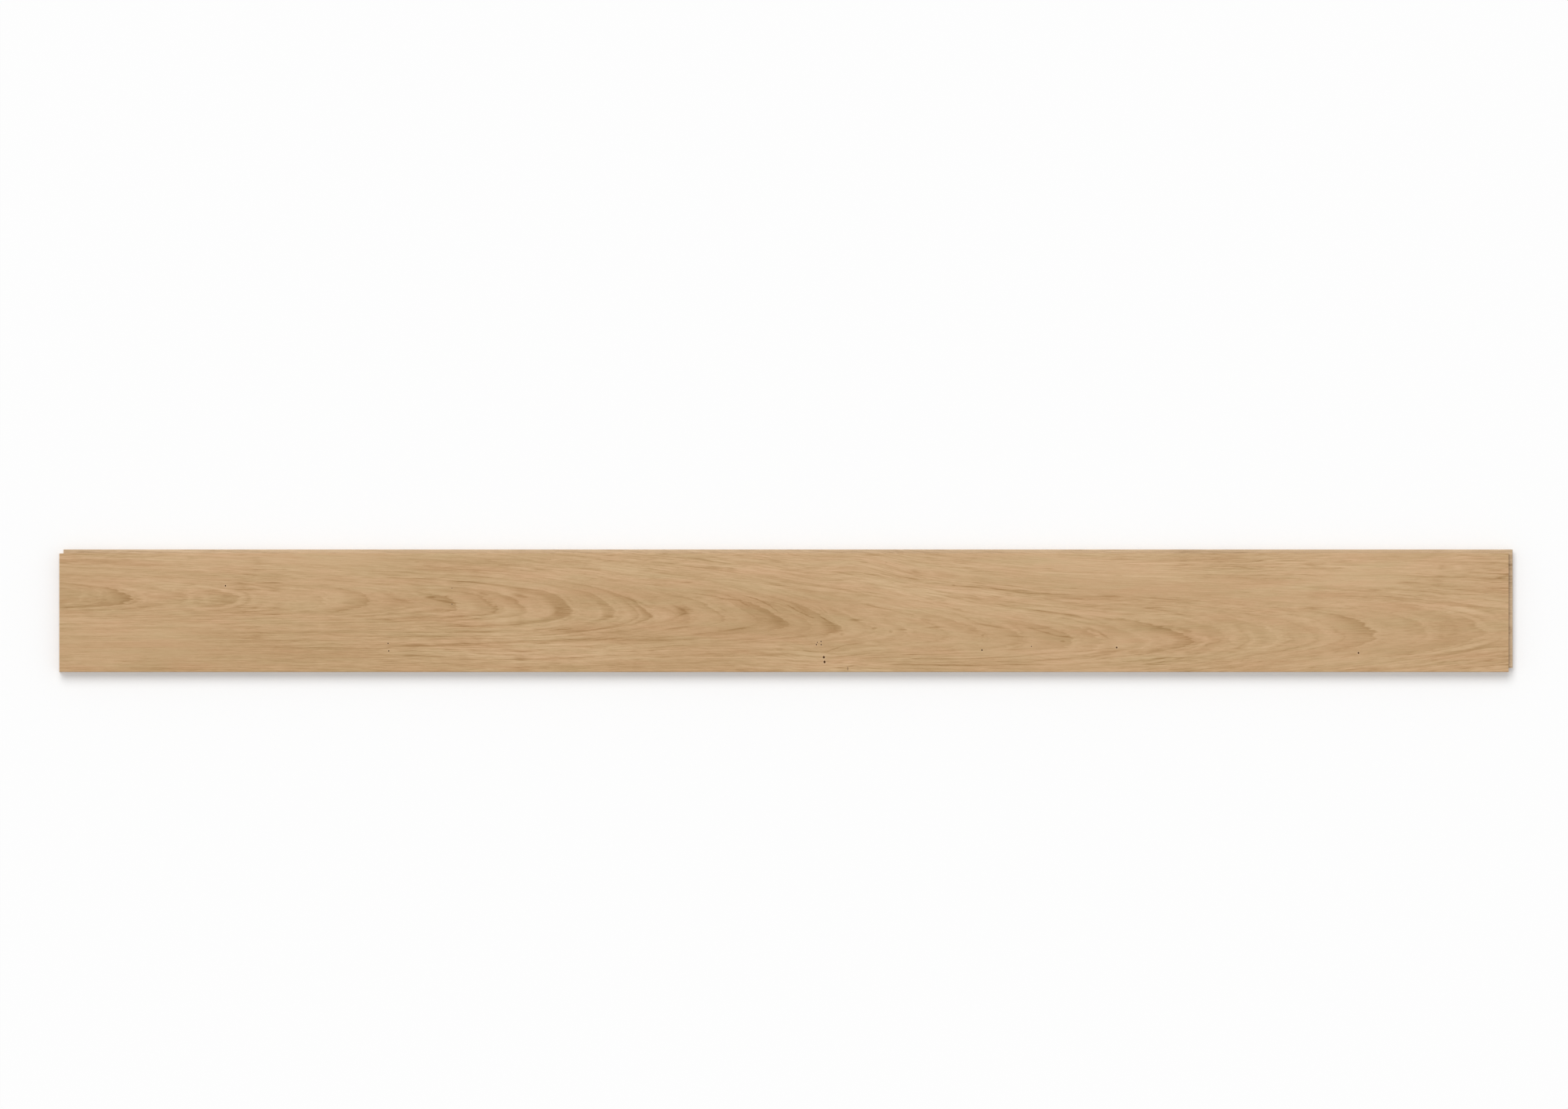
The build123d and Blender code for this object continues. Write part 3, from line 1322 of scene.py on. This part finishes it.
def pin_knot_hollow(effects):
    """Dark, dull wood inside the pin knots, and the same dark colour inside the check."""
    finish, tree, shader, where = new_finish("pin_knot_hollow")
    shader.inputs["Specular IOR Level"].default_value = 0.1
    flecks = streaks(tree, fleck_grain, parts_of(tree, where), fleck_swing, 2)
    feed(tree, shades(tree, flecks, knot_darkest, knot_palest), shader.inputs["Base Color"])
    rough = figure(tree, "MULTIPLY_ADD", flecks, fleck_roughness, knot_roughness)
    feed(tree, rough, shader.inputs["Roughness"])
    relief(tree, flecks, knot_relief, shader)
    return finish


def finish_number(face):
    """Which finish a face of the plank has, as a place in the finishes' order."""
    middle, normal = face.calc_center_median(), face.normal
    from_end = face_length / 2 - abs(middle.x)
    from_side = face_width / 2 - abs(middle.y)
    inside_bevels = from_end > end_edge_bevel and from_side > long_edge_bevel
    if middle.z > thickness - pit_zone and inside_bevels and not on_face(face):
        return HOLLOW
    if on_face(face) or on_edge_bevel(face):
        return FACE
    if abs(normal.x) > 0.7:
        return END
    low_down = middle.z < channel_depth + nearest and normal.z < 0.5
    return BACK if low_down and from_side > lower_setback + nearest else SIDE


def finish_plank(plank):
    """Adds the five finishes and gives each face its own."""
    rings, read_age = growth_rings()
    effects = {
        "rings": rings,
        "lines": grain_lines(),
        "pores": pores(),
        "rays": rays(),
        "spot": soft_spot(),
        "cutter": cutter_marks(),
    }
    for finish in (
        oiled_face(effects),
        raw_oak("milled_side", effects, side_darkest, side_palest, side_cutter_pitch, side_relief),
        raw_oak("planed_back", effects, back_darkest, back_palest, back_cutter_pitch, back_relief),
        end_grain(effects),
        pin_knot_hollow(effects),
    ):
        plank.data.materials.append(finish)
    shape = bmesh.new()
    shape.from_mesh(plank.data)
    for face in shape.faces:
        face.material_index = finish_number(face)
    shape.to_mesh(plank.data)
    shape.free()
    return read_age


def raise_grain(plank, read_age):
    """Lets the soft early wood lie a little lower than the late wood on the face."""
    open_grain = plank.vertex_groups.new(name="open_grain")
    for vertex in plank.data.vertices:
        x, y, z = vertex.co
        inset = min(face_length / 2 - abs(x), face_width / 2 - abs(y))
        if z > thickness - nearest and inset > relief_margin:
            age = read_age(x, y)
            soft = max(0.0, 1 - age / soft_wood_end) * min(1.0, age / soft_wood_start)
            fade = min(1.0, (inset - relief_margin) / (3 * relief_margin))
            open_grain.add([vertex.index], soft * fade, "REPLACE")
    only(plank)
    lowering = plank.modifiers.new("lowering", "DISPLACE")
    lowering.direction = "Z"
    lowering.mid_level = 0
    lowering.strength = -relief_depth
    lowering.vertex_group = open_grain.name
    bpy.ops.object.modifier_apply(modifier=lowering.name)
    plank.vertex_groups.clear()
    bpy.ops.object.shade_smooth_by_angle(angle=smooth_within)


def nearest_side(outline, place):
    """The side of a section that a place is nearest to.

    Gives its distance, how far along the outline it starts, its start and its direction.
    """
    best = None
    passed = 0.0
    for number, start in enumerate(outline):
        side = outline[(number + 1) % len(outline)] - start
        share = min(1.0, max(0.0, (place - start).dot(side) / side.length_squared))
        gap = (place - start - share * side).length
        if best is None or gap < best[0] - nearest / 10:
            best = (gap, passed, start, side.normalized())
        passed += side.length
    return best


def lay_out_pictures(plank, long_outline, end_outline):
    """One map of the plank: its face in two strips, then its other sides unrolled."""
    plank.data.uv_layers.new(name="OFBake")
    shape = bmesh.new()
    shape.from_mesh(plank.data)
    spot = shape.loops.layers.uv["OFBake"]
    half = face_length / 2
    long_girth = girth(long_outline) - (face_width - 2 * long_edge_bevel)
    end_girth = girth(end_outline) - (face_length - 2 * end_edge_bevel)
    for face in shape.faces:
        middle = face.calc_center_median()
        long_side = nearest_side(long_outline, Vector((middle.y, middle.z)))
        end_side = nearest_side(end_outline, Vector((middle.x, middle.z)))
        for corner in face.loops:
            x, y, z = corner.vert.co
            if face.material_index in (FACE, HOLLOW):
                along = (x + half) / half if middle.x < 0 else x / half
                over = (y + face_width / 2) / face_width
                strip = face_strips[0 if middle.x < 0 else 1]
                place = (map_margin + map_length * along, strip + face_strip_height * over)
            elif long_side[0] <= end_side[0] + nearest:
                along = (x - low.x) / (high.x - low.x)
                over = unrolled(long_side, Vector((y, z))) / long_girth
                place = (map_margin + map_length * along, girth_strip + girth_strip_height * over)
            else:
                along = (y - low.y) / (high.y - low.y)
                over = unrolled(end_side, Vector((x, z)))
                over = over if middle.x < 0 else end_girth - over
                strip = end_strips[0 if middle.x < 0 else 1]
                place = (strip + end_strip_length * along, end_strip_foot + end_map_scale * over)
            corner[spot].uv = place
    shape.to_mesh(plank.data)
    shape.free()


def girth(outline):
    """The length right round a section."""
    return sum((corner - outline[number - 1]).length for number, corner in enumerate(outline))


def unrolled(side, place):
    """How far along the unrolled section a place on one side of it lies."""
    gap, passed, start, direction = side
    return passed + (place - start).dot(direction)


plank, long_outline, end_outline = plank_body()
lay_out_relief_grid(plank)
sink_pits(plank)
read_age = finish_plank(plank)
raise_grain(plank, read_age)
lay_out_pictures(plank, long_outline, end_outline)
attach(plank, "root")
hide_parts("plank")


# Floor, light and camera

def seen_directly(tree):
    """1 where the camera sees a place, straight, in a reflection or through glass."""
    sight = tree.nodes.new("ShaderNodeLightPath").outputs
    reflected = figure(tree, "MAXIMUM", sight["Is Glossy Ray"], sight["Is Transmission Ray"])
    return figure(tree, "MAXIMUM", sight["Is Camera Ray"], reflected)


def pale_floor():
    """A wide floor that is white to the camera and still takes the plank's shadow."""
    bpy.ops.object.select_all(action="DESELECT")
    bpy.ops.mesh.primitive_plane_add(size=floor_size, location=(0, 0, -floor_gap))
    floor = bpy.context.object
    floor.name = "floor"
    bpy.ops.object.transform_apply(location=True)
    finish, tree, shader, where = new_finish("pale_floor")
    shader.inputs["Roughness"].default_value = 1
    shader.inputs["Base Color"].default_value = (floor_white, floor_white, floor_white, 1)
    shader.inputs["Specular IOR Level"].default_value = 0
    shader.inputs["Emission Color"].default_value = (1, 1, 1, 1)
    feed(tree, times(tree, seen_directly(tree), floor_lift), shader.inputs["Emission Strength"])
    floor.data.materials.append(finish)


def soft_light():
    """Pale light from all round, and a wide soft lamp high over the plank's far side."""
    world = bpy.data.worlds.new("pale_room")
    bpy.context.scene.world = world
    world.use_nodes = True
    tree = world.node_tree
    tree.nodes.clear()
    room = tree.nodes.new("ShaderNodeBackground")
    output = tree.nodes.new("ShaderNodeOutputWorld")
    tree.links.new(room.outputs[0], output.inputs["Surface"])
    room.inputs["Color"].default_value = (1, 1, 1, 1)
    lift = times(tree, seen_directly(tree), 1 - room_light)
    feed(tree, figure(tree, "ADD", lift, room_light), room.inputs["Strength"])

    lamp_data = bpy.data.lights.new("soft_lamp", "SUN")
    lamp_data.energy = lamp_light
    lamp_data.angle = math.radians(lamp_softness)
    lamp = bpy.data.objects.new("soft_lamp", lamp_data)
    bpy.context.scene.collection.objects.link(lamp)
    lamp.location = (0, 2, overhead)
    lamp.rotation_euler = [math.radians(turn) for turn in lamp_tilt]


def overhead_camera():
    """Looks straight down, with the photograph's scale and the plank at its row."""
    camera_data = bpy.data.cameras.new("camera")
    camera_data.type = "ORTHO"
    camera_data.ortho_scale = photo_width * photo_scale
    camera_data.clip_end = 100
    camera = bpy.data.objects.new("camera", camera_data)
    bpy.context.scene.collection.objects.link(camera)
    camera.location = (0, (photo_row - photo_height / 2) * photo_scale, overhead)
    bpy.context.scene.camera = camera


pale_floor()
soft_light()
overhead_camera()
bpy.context.scene.view_settings.view_transform = "Standard"
